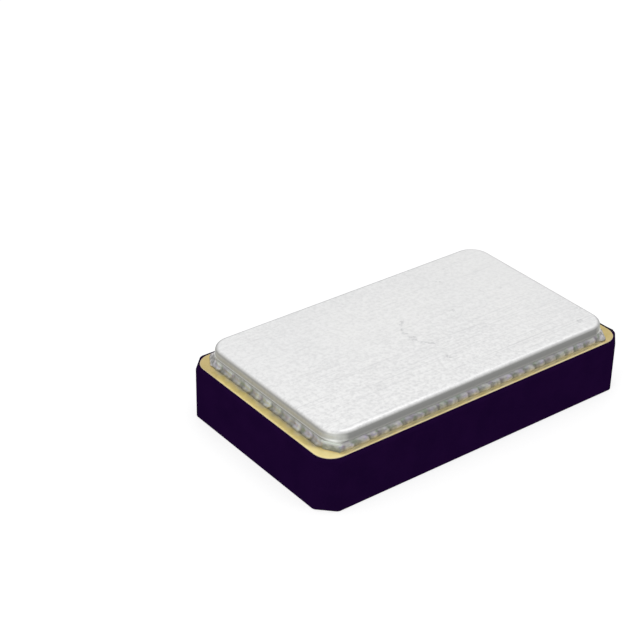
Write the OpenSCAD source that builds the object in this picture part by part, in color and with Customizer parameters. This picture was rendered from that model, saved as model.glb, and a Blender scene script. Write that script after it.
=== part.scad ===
// Crystal oscillator in a seam-sealed ceramic package with four terminal pads.
// The origin is the centre of the footprint, on the plane that the pads rest on.
// +X runs along the length, +Z is up. The crystal's held end is at -X.

/* [Ceramic base] */
// Length of the ceramic base, along X
base_l = 6.0; // [5.8:0.1:6.6]
// Width of the ceramic base, along Y
base_w = 3.5; // [3.4:0.05:3.9]
// Straight cut across each vertical corner of the base
corner_cut = 0.26; // [0.2:0.01:0.3]
// Width of the rim wall between the outside and the cavity
rim_w = 0.55; // [0.5:0.01:0.6]
// Radius of the cavity's vertical corners
cavity_r = 0.2; // [0.1:0.01:0.25]
// Thickness of the floor under the die
floor_t = 0.23; // [0.18:0.01:0.3]
// Step from the cavity floor up to the bond shelf
shelf_step = 0.2; // [0.18:0.01:0.26]
// Step from the bond shelf up to the crystal ledges
ledge_step = 0.17; // [0.15:0.01:0.25]
// Height of the rim above the crystal ledges
rim_h = 0.275; // [0.24:0.005:0.35]
// Length of the ledge under the crystal's held end
held_ledge = 0.85; // [0.8:0.01:0.95]
// Length of the ledge under the crystal's free end
free_ledge = 0.45; // [0.35:0.01:0.55]

/* [Terminal pads] */
// Thickness of each terminal pad
pad_t = 0.012; // [0.01:0.001:0.05]
// Length of each terminal pad, along X
pad_l = 1.25; // [1.05:0.05:1.4]
// Width of each terminal pad, along Y
pad_w = 1.12; // [1.0:0.02:1.24]
// Bare ceramic between a pad and the outline of the base
pad_inset = 0.03; // [0.01:0.01:0.08]

/* [Sealing band and ring] */
// Thickness of the plated sealing band on the rim
band_t = 0.015; // [0.01:0.005:0.03]
// Bare ceramic between the band and each side of the base
band_inset = 0.07; // [0.05:0.01:0.09]
// Bare ceramic between the band and each corner cut of the base
band_corner_inset = 0.04; // [0.03:0.01:0.06]
// Thickness of the braze between band and ring
braze_t = 0.01; // [0.005:0.005:0.02]
// How far the braze reaches out past the ring
braze_foot = 0.02; // [0.01:0.005:0.03]
// Thickness of the seal ring
ring_t = 0.05; // [0.04:0.01:0.15]
// Distance from each end of the base in to the ring
ring_end_inset = 0.255; // [0.23:0.005:0.3]
// Distance from each long side of the base in to the ring
ring_side_inset = 0.16; // [0.15:0.005:0.25]
// Cut across the ring's corners, measured along X
ring_cut_x = 0.13; // [0.1:0.01:0.16]
// Cut across the ring's corners, measured along Y
ring_cut_y = 0.21; // [0.12:0.01:0.24]
// Step from the cavity wall out to the ring's opening
ring_step = 0.04; // [0.02:0.01:0.06]

/* [Lid] */
// Thickness of the lid's thin flange
flange_t = 0.08; // [0.03:0.005:0.1]
// Width of the flange at each end of the raised centre
flange_end = 0.015; // [0.01:0.005:0.08]
// Width of the flange along each side of the raised centre
flange_side = 0.005; // [0.005:0.005:0.06]
// Height of the raised centre above the flange
plateau_h = 0.148; // [0.1:0.001:0.2]
// Radius of the raised centre's vertical corners
plateau_r = 0.3; // [0.2:0.01:0.35]
// Rounding of the raised centre's top edge
plateau_edge_r = 0.06; // [0.01:0.005:0.08]

/* [Seam weld] */
// Thickness of the weld metal between the spots
weld_t = 0.012; // [0.01:0.001:0.02]
// How far each weld spot stands out past that metal
spot_out = 0.018; // [0.01:0.002:0.025]
// Radius of a weld spot
spot_r = 0.18; // [0.15:0.01:0.25]
// Spacing of the weld spots along the ends
spot_pitch_end = 0.25; // [0.2:0.01:0.3]
// Spacing of the weld spots along the sides
spot_pitch_side = 0.215; // [0.18:0.005:0.3]
// Lean of each weld spot's ridge, in degrees
spot_lean = 20; // [0:5:30]

/* [Crystal] */
// Thickness of the quartz blank
blank_t = 0.08; // [0.05:0.005:0.11]
// Gap from the cavity wall to the blank's held end
blank_held_gap = 0.15; // [0.13:0.01:0.18]
// Gap from the cavity wall to the blank's free end
blank_free_gap = 0.25; // [0.1:0.01:0.3]
// Gap from the cavity wall to each side of the blank
blank_side_gap = 0.25; // [0.15:0.01:0.28]
// Thickness of each electrode film
film_t = 0.01; // [0.005:0.001:0.015]
// Length of each electrode, along X
electrode_l = 2.2; // [1.8:0.1:2.5]
// Width of each electrode, along Y
electrode_w = 1.3; // [1.1:0.05:1.4]
// Width of the tab from an electrode to the held end
tab_w = 0.4; // [0.35:0.01:0.45]
// Length of the tab's foot that folds under the blank
tab_foot = 0.35; // [0.25:0.01:0.45]
// Radius of an adhesive dot where it sits on its land
dot_r = 0.2; // [0.16:0.01:0.22]
// Height of an adhesive dot at its crown
dot_h = 0.1; // [0.08:0.005:0.12]
// Adhesive left under the blank
dot_gap = 0.03; // [0.02:0.005:0.05]
// Distance from the blank's held end in to a dot's centre
dot_in = 0.1; // [0.08:0.01:0.12]
// Distance from the blank's side in to a dot's centre
dot_side_in = 0.3; // [0.25:0.01:0.35]
// Bare ledge around each crystal land
land_margin = 0.05; // [0.03:0.01:0.08]

/* [Oscillator die] */
// Length of the die, along X
die_l = 1.3; // [1.1:0.05:1.5]
// Width of the die, along Y
die_w = 1.0; // [0.9:0.05:1.15]
// Thickness of the die
die_t = 0.13; // [0.1:0.01:0.16]
// Gap from the die to the pocket's end walls
pocket_end_gap = 0.35; // [0.2:0.01:0.4]
// Gap from the die to the pocket's side walls
pocket_side_gap = 0.25; // [0.18:0.01:0.28]
// How far the plated die land reaches past the die
die_land_margin = 0.12; // [0.05:0.01:0.15]
// Thickness of the die-attach layer
attach_t = 0.02; // [0.01:0.005:0.03]

/* [Wiring] */
// Thickness of the plated traces and lands
trace_t = 0.012; // [0.008:0.002:0.02]
// Width of a trace
trace_w = 0.16; // [0.12:0.01:0.18]
// Distance from the cavity's side wall in to a terminal trace's centre
trace_in = 0.2; // [0.16:0.01:0.22]
// Distance from the centre line to a crystal trace's centre
crystal_trace_y = 0.3; // [0.26:0.01:0.34]
// Bare shelf between the pocket and a bond finger
finger_gap = 0.04; // [0.03:0.005:0.06]
// Distance from a finger's tip to the end of its wire
stitch_in = 0.12; // [0.09:0.01:0.15]
// Radius of the vias
via_r = 0.05; // [0.04:0.005:0.06]
// Radius of a bond wire
wire_r = 0.0125; // [0.01:0.0025:0.015]
// Radius of the bonded ball under a wire
ball_r = 0.035; // [0.03:0.005:0.045]
// Height of the bonded ball
ball_h = 0.015; // [0.01:0.005:0.02]
// Straight rise of the wire above the higher of its two ends
loop_rise = 0.03; // [0.01:0.005:0.04]
// Bend radius of the wire's loop
loop_r = 0.05; // [0.04:0.005:0.06]
// Length of wire pressed flat on a finger
stitch_l = 0.05; // [0.03:0.01:0.06]
// Distance from the die's edge in to a bonded ball's centre
ball_in = 0.09; // [0.07:0.01:0.12]
// Distance from the die's centre to the bonded balls along its sides, along X
ball_spread = 0.38; // [0.3:0.01:0.42]

/* [Hidden] */
$fn = 96;
far = 20;
diagonal = sqrt(2);

cavity_l = base_l - 2 * rim_w;
cavity_w = base_w - 2 * rim_w;
ledge_x0 = held_ledge - cavity_l / 2;
ledge_x1 = cavity_l / 2 - free_ledge;
die_x = (ledge_x0 + ledge_x1) / 2;
pocket_l = die_l + 2 * pocket_end_gap;
pocket_w = die_w + 2 * pocket_side_gap;

floor_z = pad_t + floor_t;
shelf_z = floor_z + shelf_step;
ledge_z = shelf_z + ledge_step;
rim_z = ledge_z + rim_h;
braze_z = rim_z + band_t;
ring_z = braze_z + braze_t;
flange_z = ring_z + ring_t;
plateau_z = flange_z + flange_t;

band_l = base_l - 2 * band_inset;
band_w = base_w - 2 * band_inset;
band_r = (corner_cut / diagonal + band_corner_inset - band_inset * diagonal) / (diagonal - 1);
opening_l = cavity_l + 2 * ring_step;
opening_w = cavity_w + 2 * ring_step;
opening_r = cavity_r + ring_step;
ring_l = base_l - 2 * ring_end_inset;
ring_w = base_w - 2 * ring_side_inset;
plateau_l = ring_l - 2 * flange_end;
plateau_w = ring_w - 2 * flange_side;

die_z = floor_z + trace_t + attach_t;
die_top = die_z + die_t;
trace_top = shelf_z + trace_t;
trace_y = cavity_w / 2 - trace_in;
land_z = ledge_z + trace_t;

blank_x0 = blank_held_gap - cavity_l / 2;
blank_x1 = cavity_l / 2 - blank_free_gap;
blank_w = cavity_w - 2 * blank_side_gap;
film_z = land_z + dot_gap;
blank_z = film_z + film_t;
blank_top = blank_z + blank_t;
electrode_x = (blank_x0 + blank_x1) / 2;
dot_x = blank_x0 + dot_in;
dot_y = blank_w / 2 - dot_side_in;
dot_ball_r = (pow(dot_r, 2) + pow(dot_h, 2)) / (2 * dot_h);

pad_x = base_l / 2 - pad_inset - pad_l / 2;
ring_via_x = base_l / 2 - rim_w / 2;
crystal_via_x = ledge_x0 - land_margin - 2 * via_r;
via_margin = via_r + 0.03;

// Corners are numbered anticlockwise from -X -Y, seen from above: [x sign, y sign].
CORNERS = [[-1, -1], [1, -1], [1, 1], [-1, 1]];
SIDES = [-1, 1];
GROUND = 1;
WIRE_SIDES = 8;
LOOP_STEPS = 8;

PART_COLOURS = [
    ["ceramic", [0.11, 0.03, 0.16]],
    ["gold", [0.93, 0.82, 0.53]],
    ["braze", [0.80, 0.72, 0.50]],
    ["lid", [0.90, 0.90, 0.90]],
    ["ring", [0.66, 0.66, 0.65]],
    ["weld", [0.63, 0.62, 0.64]],
    ["quartz", [0.85, 0.92, 0.95]],
    ["film", [0.78, 0.78, 0.80]],
    ["adhesive", [0.70, 0.70, 0.66]],
    ["silicon", [0.25, 0.27, 0.32]],
    ["tungsten", [0.45, 0.45, 0.46]]
];

function colour(name) = PART_COLOURS[search([name], PART_COLOURS)[0]][1];

// Cut left on a cornered outline after it is drawn in by a margin.
function inner_cut(cut, margin) = cut - (2 - diagonal) * margin;

// Rectangle with straight cut corners, centred.
module cut_rect(l, w, cut_x, cut_y) {
    polygon([
        [-l / 2 + cut_x, -w / 2], [l / 2 - cut_x, -w / 2],
        [l / 2, -w / 2 + cut_y], [l / 2, w / 2 - cut_y],
        [l / 2 - cut_x, w / 2], [-l / 2 + cut_x, w / 2],
        [-l / 2, w / 2 - cut_y], [-l / 2, -w / 2 + cut_y]
    ]);
}

// Rectangle with round corners, centred.
module round_rect(l, w, r) {
    square([l, w - 2 * r], center = true);
    square([l - 2 * r, w], center = true);
    for (corner = CORNERS)
        translate([corner[0] * (l / 2 - r), corner[1] * (w / 2 - r)])
            circle(r);
}

// Outline of the base, drawn in by a margin.
module base_outline(margin = 0) {
    cut = inner_cut(corner_cut, margin);
    cut_rect(base_l - 2 * margin, base_w - 2 * margin, cut, cut);
}

// Outline of ring and flange, let out by a margin.
module ring_outline(margin = 0) {
    cut_rect(ring_l + 2 * margin, ring_w + 2 * margin, ring_cut_x, ring_cut_y);
}

// Box from one corner to the opposite one.
module block(low, high) {
    translate(low)
        cube(high - low);
}

module upright(z0, z1, r) {
    translate([0, 0, z0])
        cylinder(h = z1 - z0, r = r);
}

// ---- Ceramic base ----

module ceramic_base() {
    color(colour("ceramic"))
        difference() {
            translate([0, 0, pad_t])
                linear_extrude(rim_z - pad_t)
                    base_outline();
            translate([0, 0, ledge_z])
                linear_extrude(far)
                    round_rect(cavity_l, cavity_w, cavity_r);
            block([ledge_x0, -cavity_w / 2, shelf_z], [ledge_x1, cavity_w / 2, rim_z]);
            block([die_x - pocket_l / 2, -pocket_w / 2, floor_z],
                  [die_x + pocket_l / 2, pocket_w / 2, ledge_z]);
            for (i = [0:3]) {
                bond_trace_solid(i);
                terminal_via_solid(i);
            }
            for (side = SIDES) {
                crystal_trace_solid(side);
                crystal_via_solid(side);
            }
            ring_via_solid();
        }
}

// ---- Terminal pads, vias and traces ----

module terminal_pad(i) {
    color(colour("gold"))
        linear_extrude(pad_t)
            intersection() {
                base_outline(pad_inset);
                translate([CORNERS[i][0] * pad_x, CORNERS[i][1] * (base_w - 2 * pad_inset - pad_w) / 2])
                    square([pad_l, pad_w], center = true);
            }
}

module terminal_via_solid(i) {
    translate([CORNERS[i][0] * pad_x, CORNERS[i][1] * trace_y, 0])
        upright(pad_t, shelf_z, via_r);
}

// The ground trace runs on under the rim to the ring via.
function trace_reach(i) = (i == GROUND ? ring_via_x : pad_x) + via_margin;

// A finger beside the pocket and a run along the shelf, drawn for the +X +Y corner.
module bond_trace_solid(i) {
    tip_x = die_x * CORNERS[i][0] + ball_spread - trace_w / 2;
    finger_y = pocket_w / 2 + finger_gap;
    mirror([CORNERS[i][0] < 0 ? 1 : 0, 0, 0])
        mirror([0, CORNERS[i][1] < 0 ? 1 : 0, 0])
            translate([0, 0, shelf_z])
                linear_extrude(trace_t) {
                    translate([tip_x, finger_y])
                        square([trace_w, trace_y + trace_w / 2 - finger_y]);
                    translate([tip_x, trace_y - trace_w / 2])
                        square([trace_reach(i) - tip_x, trace_w]);
                }
}

module crystal_trace_solid(side) {
    tip_x = die_x - pocket_l / 2 - finger_gap;
    x0 = crystal_via_x - via_margin;
    translate([x0, side * crystal_trace_y - trace_w / 2, shelf_z])
        cube([tip_x - x0, trace_w, trace_t]);
}

module crystal_via_solid(side) {
    translate([crystal_via_x, side * crystal_trace_y, 0])
        upright(trace_top, ledge_z, via_r);
}

module ring_via_solid() {
    translate([ring_via_x, -trace_y, 0])
        upright(trace_top, rim_z, via_r);
}

module crystal_land(side) {
    y0 = crystal_trace_y - trace_w / 2;
    y1 = dot_y + dot_r + land_margin;
    color(colour("gold"))
        mirror([0, side < 0 ? 1 : 0, 0])
            block([land_margin - cavity_l / 2, y0, ledge_z], [ledge_x0 - land_margin, y1, land_z]);
}

// ---- Oscillator die and its wires ----

module die_land() {
    l = die_l + 2 * die_land_margin;
    w = die_w + 2 * die_land_margin;
    color(colour("gold"))
        translate([die_x - l / 2, -w / 2, floor_z])
            cube([l, w, trace_t]);
}

module die_attach() {
    color(colour("adhesive"))
        translate([die_x - die_l / 2, -die_w / 2, floor_z + trace_t])
            cube([die_l, die_w, attach_t]);
}

module oscillator_die() {
    color(colour("silicon"))
        translate([die_x - die_l / 2, -die_w / 2, die_z])
            cube([die_l, die_w, die_t]);
}

// Side view of a wire from a ball at x = 0, up, over and down to a stitch that ends at x = run.
// Each station is [x, z, direction in degrees above +X, radius]. The straight fall is the
// tangent from the start of the stitch to the loop's arc.
function wire_stations(run) =
    let (
        start_z = max(die_top + ball_h, trace_top) + loop_rise,
        end_x = run - stitch_l,
        end_z = trace_top + wire_r * cos(180 / WIRE_SIDES),
        reach = norm([end_x - loop_r, start_z - end_z]),
        fall = atan2(start_z - end_z, end_x - loop_r) + asin(loop_r / reach)
    )
    concat(
        [
            [0, die_top, 90, ball_r],
            [0, die_top + ball_h, 90, ball_r],
            [0, die_top + ball_h, 90, wire_r]
        ],
        [
            for (i = [0:LOOP_STEPS])
                let (turned = i * (90 + fall) / LOOP_STEPS)
                [loop_r * (1 - cos(turned)), start_z + loop_r * sin(turned), 90 - turned, wire_r]
        ],
        [
            [end_x, end_z, -fall / 2, wire_r],
            [run, end_z, 0, wire_r]
        ]
    );

// Corners of the ring of a wire's skin at one station.
function station_ring(station) = [
    for (k = [0:WIRE_SIDES - 1])
        let (
            turn = (k + 0.5) * 360 / WIRE_SIDES,
            up = station[3] * cos(turn)
        )
        [
            station[0] - up * sin(station[2]),
            station[3] * sin(turn),
            station[1] + up * cos(station[2])
        ]
];

module bond_wire(run) {
    stations = wire_stations(run);
    last = len(stations) - 1;
    sides = [
        for (i = [0:last - 1], k = [0:WIRE_SIDES - 1])
            let (
                near = i * WIRE_SIDES,
                next = (k + 1) % WIRE_SIDES
            )
            [near + k, near + next, near + next + WIRE_SIDES, near + k + WIRE_SIDES]
    ];
    foot = [for (k = [WIRE_SIDES - 1:-1:0]) k];
    tip = [for (k = [0:WIRE_SIDES - 1]) last * WIRE_SIDES + k];
    polyhedron(
        points = [for (station = stations) each station_ring(station)],
        faces = concat([foot], sides, [tip])
    );
}

// Wires 1 to 4 run from the die's sides to the terminal traces.
module side_wire(i) {
    y0 = die_w / 2 - ball_in;
    y1 = pocket_w / 2 + finger_gap + stitch_in;
    color(colour("gold"))
        translate([die_x + CORNERS[i][0] * ball_spread, CORNERS[i][1] * y0, 0])
            rotate([0, 0, CORNERS[i][1] * 90])
                bond_wire(y1 - y0);
}

// Wires 5 and 6 run from the die's end to the crystal traces.
module end_wire(side) {
    x0 = die_l / 2 - ball_in;
    x1 = pocket_l / 2 + finger_gap + stitch_in;
    color(colour("gold"))
        translate([die_x - x0, side * crystal_trace_y, 0])
            rotate([0, 0, 180])
                bond_wire(x1 - x0);
}

// ---- Crystal ----

module quartz_blank() {
    color(colour("quartz"))
        block([blank_x0, -blank_w / 2, blank_z], [blank_x1, blank_w / 2, blank_top]);
}

// One electrode film with its tab out to the held end; side is the tab's side along Y.
module electrode_film(z, side) {
    x0 = electrode_x - electrode_l / 2;
    translate([0, 0, z])
        linear_extrude(film_t) {
            translate([x0, -electrode_w / 2])
                square([electrode_l, electrode_w]);
            translate([blank_x0, side * dot_y - tab_w / 2])
                square([x0 + tab_w - blank_x0, tab_w]);
        }
}

module electrode_bottom() {
    color(colour("film"))
        electrode_film(film_z, -1);
}

// The top film's tab folds down over the blank's end and under it.
module electrode_top() {
    y0 = dot_y - tab_w / 2;
    y1 = dot_y + tab_w / 2;
    color(colour("film")) {
        electrode_film(blank_top, 1);
        block([blank_x0 - film_t, y0, film_z], [blank_x0, y1, blank_top + film_t]);
        block([blank_x0 - film_t, y0, film_z], [blank_x0 + tab_foot, y1, blank_z]);
    }
}

// A low dome on the land, under the blank's corner and a little way up its end.
module adhesive_dot(side) {
    color(colour("adhesive"))
        difference() {
            intersection() {
                translate([dot_x, side * dot_y, land_z + dot_h - dot_ball_r])
                    sphere(dot_ball_r);
                block([dot_x - dot_r, side * dot_y - dot_r, land_z],
                      [dot_x + dot_r, side * dot_y + dot_r, land_z + dot_h]);
            }
            block([blank_x0 - (side > 0 ? film_t : 0), -cavity_w / 2, film_z],
                  [blank_x1, cavity_w / 2, blank_top + dot_h]);
        }
}

// ---- Sealing band, ring, lid and weld ----

module sealing_band() {
    color(colour("gold"))
        translate([0, 0, rim_z])
            linear_extrude(band_t)
                difference() {
                    round_rect(band_l, band_w, band_r);
                    round_rect(opening_l, opening_w, opening_r);
                }
}

module ring_braze() {
    color(colour("braze"))
        translate([0, 0, braze_z])
            linear_extrude(braze_t)
                difference() {
                    ring_outline(braze_foot);
                    round_rect(opening_l, opening_w, opening_r);
                }
}

module seal_ring() {
    color(colour("ring"))
        translate([0, 0, ring_z])
            linear_extrude(ring_t)
                difference() {
                    ring_outline();
                    round_rect(opening_l, opening_w, opening_r);
                }
}

// Cross-section of a plate of half-width half, with a rounded top edge, for rotate_extrude.
module plate_section(half, h, edge_r) {
    square([half, h - edge_r]);
    square([half - edge_r, h]);
    translate([half - edge_r, h - edge_r])
        circle(edge_r);
}

// Plate with round vertical corners and a rounded top edge, centred, from z = 0 up.
module rounded_plate(l, w, h, r, edge_r) {
    linear_extrude(h - edge_r)
        round_rect(l, w, r);
    linear_extrude(h)
        round_rect(l - 2 * edge_r, w - 2 * edge_r, r - edge_r);
    for (corner = CORNERS)
        translate([corner[0] * (l / 2 - r), corner[1] * (w / 2 - r), 0])
            rotate_extrude()
                plate_section(r, h, edge_r);
    for (side = SIDES) {
        translate([0, side * (w / 2 - edge_r), h - edge_r])
            rotate([0, 90, 0])
                cylinder(h = l - 2 * r, r = edge_r, center = true);
        translate([side * (l / 2 - edge_r), 0, h - edge_r])
            rotate([90, 0, 0])
                cylinder(h = w - 2 * r, r = edge_r, center = true);
    }
}

module lid() {
    color(colour("lid")) {
        translate([0, 0, flange_z])
            linear_extrude(flange_t)
                ring_outline();
        translate([0, 0, flange_z])
            rounded_plate(plateau_l, plateau_w, flange_t + plateau_h, plateau_r, plateau_edge_r);
    }
}

// One row of weld spots along X, standing out past y = 0. A positive lean tips their tops to +X.
module weld_row(row_l, pitch, lean) {
    count = max(2, round(row_l / pitch));
    step = row_l / count;
    reach = ring_t + flange_t;
    for (i = [0:count - 1])
        translate([(i + 0.5) * step - row_l / 2, spot_out - spot_r, ring_z + reach / 2])
            rotate([0, lean, 0])
                cylinder(h = 3 * reach, r = spot_r, center = true);
}

// The spots along the side at +Y, which lean to -X.
module side_spots() {
    translate([0, ring_w / 2 + weld_t, 0])
        weld_row(ring_l - 2 * ring_cut_x, spot_pitch_side, -spot_lean);
}

// The spots along the end at +X, which lean to -Y.
module end_spots() {
    rotate([0, 0, -90])
        translate([0, ring_l / 2 + weld_t, 0])
            weld_row(ring_w - 2 * ring_cut_y, spot_pitch_end, spot_lean);
}

module seam_weld() {
    color(colour("weld"))
        difference() {
            intersection() {
                union() {
                    linear_extrude(far)
                        ring_outline(weld_t);
                    side_spots();
                    mirror([0, 1, 0])
                        side_spots();
                    end_spots();
                    mirror([1, 0, 0])
                        end_spots();
                }
                translate([-far / 2, -far / 2, ring_z])
                    cube([far, far, ring_t + flange_t]);
            }
            linear_extrude(far)
                ring_outline();
        }
}

ceramic_base();
terminal_pad(0);  // terminal_pad_1
terminal_pad(1);  // terminal_pad_2
terminal_pad(2);  // terminal_pad_3
terminal_pad(3);  // terminal_pad_4
color(colour("tungsten")) terminal_via_solid(0);  // terminal_via_1
color(colour("tungsten")) terminal_via_solid(1);  // terminal_via_2
color(colour("tungsten")) terminal_via_solid(2);  // terminal_via_3
color(colour("tungsten")) terminal_via_solid(3);  // terminal_via_4
color(colour("gold")) bond_trace_solid(0);  // bond_trace_1
color(colour("gold")) bond_trace_solid(1);  // bond_trace_2
color(colour("gold")) bond_trace_solid(2);  // bond_trace_3
color(colour("gold")) bond_trace_solid(3);  // bond_trace_4
color(colour("gold")) crystal_trace_solid(-1);  // crystal_trace_1
color(colour("gold")) crystal_trace_solid(1);  // crystal_trace_2
color(colour("tungsten")) crystal_via_solid(-1);  // crystal_via_1
color(colour("tungsten")) crystal_via_solid(1);  // crystal_via_2
crystal_land(-1);  // crystal_land_1
crystal_land(1);  // crystal_land_2
color(colour("tungsten")) ring_via_solid();  // ring_via
die_land();
die_attach();
oscillator_die();
side_wire(0);  // bond_wire_1
side_wire(1);  // bond_wire_2
side_wire(2);  // bond_wire_3
side_wire(3);  // bond_wire_4
end_wire(-1);  // bond_wire_5
end_wire(1);  // bond_wire_6
adhesive_dot(-1);  // adhesive_dot_1
adhesive_dot(1);  // adhesive_dot_2
electrode_bottom();
quartz_blank();
electrode_top();
sealing_band();
ring_braze();
seal_ring();
lid();
seam_weld();
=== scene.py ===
"""Crystal oscillator in a seam-sealed ceramic package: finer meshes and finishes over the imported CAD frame.

Lengths are in millimetres until a mesh is made, and metres after that.
"""

import math
import random

import bmesh
import bpy
from mathutils import Matrix, Vector, noise


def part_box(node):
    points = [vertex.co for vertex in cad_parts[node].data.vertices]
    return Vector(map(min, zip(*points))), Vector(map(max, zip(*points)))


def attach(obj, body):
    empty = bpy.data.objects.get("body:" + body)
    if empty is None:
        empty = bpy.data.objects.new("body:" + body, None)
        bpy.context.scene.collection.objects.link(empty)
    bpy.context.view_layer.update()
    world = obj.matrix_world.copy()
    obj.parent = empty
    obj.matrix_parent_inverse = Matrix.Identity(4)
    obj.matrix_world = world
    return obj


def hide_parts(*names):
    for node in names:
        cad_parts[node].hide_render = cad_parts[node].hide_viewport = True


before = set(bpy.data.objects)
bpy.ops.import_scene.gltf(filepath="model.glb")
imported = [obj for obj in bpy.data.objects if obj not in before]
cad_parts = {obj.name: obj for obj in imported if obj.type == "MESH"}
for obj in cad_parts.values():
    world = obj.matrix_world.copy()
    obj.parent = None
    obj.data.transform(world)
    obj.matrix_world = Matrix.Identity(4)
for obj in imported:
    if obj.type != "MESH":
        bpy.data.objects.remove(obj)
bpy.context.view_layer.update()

MM = 0.001

# ---- Sizes that the nodes' boxes don't give, in millimetres and degrees ----
# Ceramic base and pads: straight cut on each corner, and the radii of the edges.
CORNER_CUT = 0.26
BASE_CORNER_R, BASE_TOP_R, BASE_FOOT_R = 0.085, 0.045, 0.003
PAD_EDGE_R = 0.004
# Sealing band: width of its rounded rim, corner radius, the angle at which the rim starts, and the opening.
BAND_RIM_W, BAND_CORNER_R, BAND_RIM_START = 0.030, 0.301, 8
OPENING_L, OPENING_W, OPENING_R = 4.98, 2.48, 0.24
# Seal ring: corner cut, which the weld and the flange follow.
RING_CUT_X, RING_CUT_Y = 0.13, 0.21
# Lid: width of the flange past the raised centre, the flange's edge, and the radii of the raised centre.
FLANGE_END, FLANGE_SIDE = 0.015, 0.005
FLANGE_INSET, FLANGE_CHAMFER, FLANGE_CORNER_R = 0.003, 0.004, 0.02
PLATEAU_R, PLATEAU_EDGE_R, PLATEAU_FOOT_R = 0.34, 0.075, 0.011
# Weld: thickness, what the spots add, the toe on the ends, and the gap that it leaves over the band.
WELD_T, SPOT_OUT, END_TOE, WELD_CLEARANCE = 0.012, 0.018, 0.036, 0.0003
WELD_CORNER_R = 0.03
# Its spots: pitch along the sides and the ends, lean, the least length of one, and the ripples on each.
SPOT_PITCH_SIDE, SPOT_PITCH_END, SPOT_LEAN = 0.215, 0.25, 20
LEAST_SPOT, RIPPLES = 0.03, 2.6
# The unevenness of its surface.
GRIT = 0.0014
# Its shoulder starts and its toe ends at these shares of its height.
SHOULDER_AT, TOE_TOP = 0.62, 0.6
# Its slopes at three corners: reach past the ring, run back to the top, and how far past the cut they fade.
SLOPE_OUT, SLOPE_RUN, SLOPE_FADE = 0.048, 0.125, 0.13
# How far past the cut the colour of the fourth corner fades.
COLOUR_FADE = 0.02
# What lies under a slope steps back by this: the flange's edge and the bead's hidden rows.
FLANGE_STEP_BACK, HIDDEN_STEP_BACK = 0.09, 0.1
# The bead's hidden rows, as far past the ring's outline, at its foot, its top and behind it.
FOOT_ROW, TOP_ROW, BACK_ROW = -0.012, -0.006, -0.016

# ---- Fineness of the meshes: points on a rounded corner less one, spacing along a side, and rows ----
LEAST_R = 0.002
BAND_ARC, BAND_STEP, RIM_STEPS = 14, 0.25, 6
FLANGE_ARC, FLANGE_STEP = 4, 0.05
PLATEAU_ARC, PLATEAU_STEP, FILLET_STEPS, EDGE_STEPS = 20, 0.3, 5, 10
WELD_ARC, WELD_STEP, WELD_ROWS = 6, 0.0105, 16

# ---- Floor, in millimetres ----
FLOOR_HALF, FLOOR_Z = 300, -0.002

# ---- Camera: where it stands, in millimetres, how it looks and its lens ----
CAMERA_AT = (-15.585, -17.691, 15.314)
CAMERA_AZIMUTH, CAMERA_ELEVATION, CAMERA_ROLL = -37.972, 30.638, 1.078
LENS, SENSOR = 100.06, 36


def box_mm(node):
    """The lowest and highest corner of a node's box."""
    low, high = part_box(node)
    return low / MM, high / MM


# ---------------------------------------------------------------- outlines and meshes


def cut_corners(half_l, half_w, cut_x=0.0, cut_y=0.0):
    """Corners of a centred rectangle, anticlockwise, each cut off unless the cut is 0."""
    if not cut_x:
        return [Vector((sx * half_l, sy * half_w)) for sx, sy in ((-1, -1), (1, -1), (1, 1), (-1, 1))]
    return [
        Vector(p)
        for p in (
            (-half_l + cut_x, -half_w), (half_l - cut_x, -half_w),
            (half_l, -half_w + cut_y), (half_l, half_w - cut_y),
            (half_l - cut_x, half_w), (-half_l + cut_x, half_w),
            (-half_l, half_w - cut_y), (-half_l, -half_w + cut_y),
        )
    ]


def outline(corners, inset, radius, arc_steps, spacing, like=None):
    """[(point, outward normal)] round a convex outline drawn in by inset, with its corners rounded.
    The count of points doesn't depend on the inset, so that such outlines can be joined. like gives the
    corners of another outline to take the counts from."""
    n = len(corners)
    sides = [corners[(i + 1) % n] - corners[i] for i in range(n)]
    rule = like or corners
    counts = [max(1, round((rule[(i + 1) % n] - rule[i]).length / spacing)) for i in range(n)]
    along = [side.normalized() for side in sides]
    inward = [Vector((-a.y, a.x)) for a in along]
    r = max(radius - inset, LEAST_R)
    arcs = []
    for i in range(n):
        before, after = along[i - 1], along[i]
        turn = math.atan2(before.x * after.y - before.y * after.x, before.dot(after))
        corner = corners[i] + (inward[i - 1] + inward[i]) * (inset / (1 + math.cos(turn)))
        centre = corner - before * (r * math.tan(turn / 2)) + inward[i - 1] * r
        first = -inward[i - 1]
        arc = []
        for k in range(arc_steps + 1):
            a = turn * k / arc_steps
            cos_a, sin_a = math.cos(a), math.sin(a)
            out = Vector((first.x * cos_a - first.y * sin_a, first.x * sin_a + first.y * cos_a))
            arc.append((centre + out * r, out))
        arcs.append(arc)
    found = []
    for i in range(n):
        found += arcs[i]
        start, end = arcs[i][-1][0], arcs[(i + 1) % n][0][0]
        found += [(start.lerp(end, k / counts[i]), -inward[i]) for k in range(1, counts[i])]
    return found


def finish_mesh(bm, name, material, sharp=40, weighted=True):
    """Turns a bmesh in millimetres into a piece in metres that rides on the body. Edges that turn by more
    than sharp degrees stay sharp, unless it is 0."""
    bmesh.ops.recalc_face_normals(bm, faces=bm.faces)
    for v in bm.verts:
        v.co *= MM
    mesh = bpy.data.meshes.new(name)
    bm.to_mesh(mesh)
    bm.free()
    mesh.shade_smooth()
    if sharp:
        mesh.set_sharp_from_angle(angle=math.radians(sharp))
    mesh.materials.append(material)
    obj = bpy.data.objects.new(name, mesh)
    bpy.context.scene.collection.objects.link(obj)
    if weighted:
        normals = obj.modifiers.new("normals", "WEIGHTED_NORMAL")
        normals.mode = "FACE_AREA"
        normals.weight = 50
        normals.keep_sharp = True
    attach(obj, "root")
    return obj


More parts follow.
